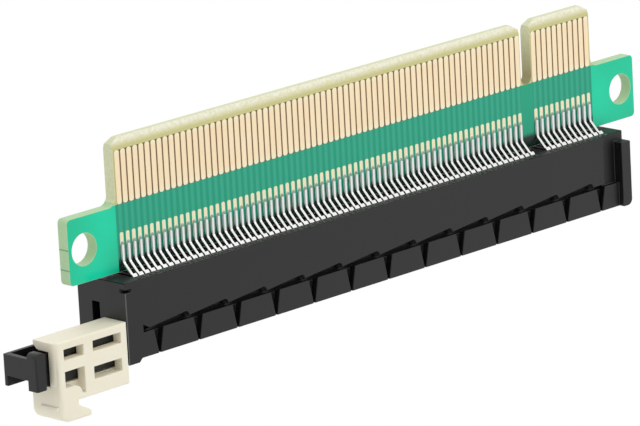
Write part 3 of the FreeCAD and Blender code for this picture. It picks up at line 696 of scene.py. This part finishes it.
def buildSolder(look):
    # a ball one unit across, stretched to size and cut down its middle
    bm = bmesh.new()
    bmesh.ops.create_uvsphere(bm, u_segments=look["around"], v_segments=look["rings"], radius=0.5)
    bmesh.ops.scale(bm, vec=Vector((look["width"], look["height"] * 2, look["long"])) * mm, verts=bm.verts)
    every = [*bm.verts, *bm.edges, *bm.faces]
    bmesh.ops.bisect_plane(bm, geom=every, plane_co=(0, 0, 0), plane_no=(0, 1, 0), clear_outer=True)
    bmesh.ops.translate(bm, vec=Vector((0, boardLow.y - look["sunk"], look["centre"])) * mm, verts=bm.verts)
    bmesh.ops.holes_fill(bm, edges=bm.edges, sides=0)
    addRows("solder", masterOf("solderMaster", bm), copperBanks, solderMaterial)


# Beyond each lead a small grey tin tab stands in the top of the housing, a painted highlight in place of
# the bright dash of a glint along that edge.
glintTabs = {"width": 0.5, "deep": 0.2, "out": 3.45, "proud": 0.08, "tall": 0.2}


def buildGlintTabs(look):
    middle = Vector((0, -look["out"], housingHigh.z + look["proud"] - look["tall"] / 2))
    bm = bmesh.new()
    bmesh.ops.create_cube(bm, size=mm)
    bmesh.ops.scale(bm, vec=(look["width"], look["deep"], look["tall"]), verts=bm.verts)
    bmesh.ops.translate(bm, vec=middle * mm, verts=bm.verts)
    master = masterOf("glintTabMaster", bm)
    for side in ("front", "back"):
        row = rowOf(master, range(1, lastPin + 1), side)
        addPiece(f"glint_tabs_{side}", row, glintTabMaterial, "card")


# The etched copper: fingers above and pads under the tails, with rounded corners.
fingerShape = {"width": 0.76, "round": 0.26, "segments": 3}
padShape = {"width": 0.58, "round": 0.2, "segments": 3}


def buildCopper(kind, look, material):
    low, high = span(*named(kind + "_front"))
    bm = bmesh.new()
    bmesh.ops.create_cube(bm, size=mm)
    bmesh.ops.scale(bm, vec=(look["width"], high.y - low.y, high.z - low.z), verts=bm.verts)
    through = [edge for edge in bm.edges if abs(edge.verts[0].co.y - edge.verts[1].co.y) > hair * mm]
    bmesh.ops.bevel(bm, geom=through, offset=look["round"] * mm, offset_type="OFFSET", affect="EDGES",
                    segments=look["segments"], profile=0.5, material=-1)
    centre = Vector((0, (high.y + low.y) / 2, (high.z + low.z) / 2))
    bmesh.ops.translate(bm, vec=centre * mm, verts=bm.verts)
    addRows("etched_" + kind, masterOf(kind + "Master", bm), copperBanks, material, kind)


buildBoard(boardEdge)
buildHousing(housingEdge)
buildLatch(latchEdge)
buildFootRidge(footRidge)
buildContacts(springStrip)
buildSolder(solderMound)
buildGlintTabs(glintTabs)
buildCopper("fingers", fingerShape, fingerMaterial)
buildCopper("pads", padShape, padMaterial)
print("stage: pieces made")


# The camera stands far off to the left and a little above, with a long lens.
view = {"azimuth": 44.273, "elevation": 14.663, "roll": 3.113, "place": (-497.45, -502.75, 179.11),
        "focal": 328.815, "sensor": 36.0, "clip": (10.0, 20000.0)}


def makeCamera(look):
    lens = bpy.data.cameras.new("camera")
    lens.sensor_width = look["sensor"]
    lens.lens = look["focal"]
    lens.clip_start, lens.clip_end = look["clip"][0] * mm, look["clip"][1] * mm
    camera = bpy.data.objects.new("camera", lens)
    bpy.context.scene.collection.objects.link(camera)
    turn = Matrix.Rotation(-math.radians(look["azimuth"]), 4, "Z")
    tilt = Matrix.Rotation(math.radians(90 - look["elevation"]), 4, "X")
    roll = Matrix.Rotation(-math.radians(look["roll"]), 4, "Z")
    camera.matrix_world = Matrix.Translation(Vector(look["place"]) * mm) @ turn @ tilt @ roll
    bpy.context.scene.camera = camera


# A level, soft studio: the stronger lamp in front on the right, a weaker one above, a pale floor
# below and a pale world all round. Each lamp has its place, its size and its power in watts.
studio = {
    "floorDrop": 45.0, "floorSize": 6000.0, "floor": "#f4f4f2", "world": 0.7,
    "lamps": {"keyLamp": ((500, -900, 900), 800, 5.0), "topLamp": ((-300, 100, 1100), 1000, 2.0)},
}


def makeLamp(name, place, size, power):
    lamp = bpy.data.lights.new(name, "AREA")
    lamp.energy, lamp.size = power, size * mm
    piece = bpy.data.objects.new(name, lamp)
    bpy.context.scene.collection.objects.link(piece)
    aim = (-Vector(place)).to_track_quat("-Z", "Y").to_matrix().to_4x4()
    piece.matrix_world = Matrix.Translation(Vector(place) * mm) @ aim


def seenDirectly(tree):
    # one for the rays that a camera, a mirror or glass sends, nought for the rest
    path = addNode(tree, "LightPath").outputs
    seen = addNode(tree, "Math", {"operation": "MAXIMUM"},
                   {0: path["Is Camera Ray"], 1: path["Is Glossy Ray"]})
    return addNode(tree, "Math", {"operation": "MAXIMUM"}, {0: seen, 1: path["Is Transmission Ray"]})


def makeWorld(look):
    world = bpy.data.worlds.new("studio")
    world.use_nodes = True
    tree = world.node_tree
    tree.nodes.clear()
    strength = addNode(tree, "MapRange", {"To Min": look["world"], "To Max": 1.0},
                       {"Value": seenDirectly(tree)})
    light = addNode(tree, "Background", {"Color": (1, 1, 1, 1)}, {"Strength": strength})
    addNode(tree, "OutputWorld", links={"Surface": light})
    bpy.context.scene.world = world


def makeFloor(look):
    # white to the camera and in reflections, matte and pale to all other light
    material, tree = newMaterial("paleFloor")
    matte = addNode(tree, "BsdfDiffuse", {"Color": hexColour(look["floor"])})
    white = addNode(tree, "Emission", {"Color": (1, 1, 1, 1), "Strength": 1.0})
    shader = addNode(tree, "MixShader", links={0: seenDirectly(tree), 1: matte, 2: white})
    addNode(tree, "OutputMaterial", links={"Surface": shader})
    bm = bmesh.new()
    bmesh.ops.create_grid(bm, x_segments=1, y_segments=1, size=look["floorSize"] * mm / 2)
    bmesh.ops.translate(bm, vec=Vector((0, 0, boardLow.z - look["floorDrop"])) * mm, verts=bm.verts)
    mesh = bpy.data.meshes.new("floor")
    bm.to_mesh(mesh)
    bm.free()
    mesh.materials.append(material)
    floor = bpy.data.objects.new("floor", mesh)
    bpy.context.scene.collection.objects.link(floor)


bpy.context.scene.view_settings.view_transform = "Standard"
makeCamera(view)
makeWorld(studio)
for lampName, lampLook in studio["lamps"].items():
    makeLamp(lampName, *lampLook)
makeFloor(studio)
print("stage: camera and studio made")
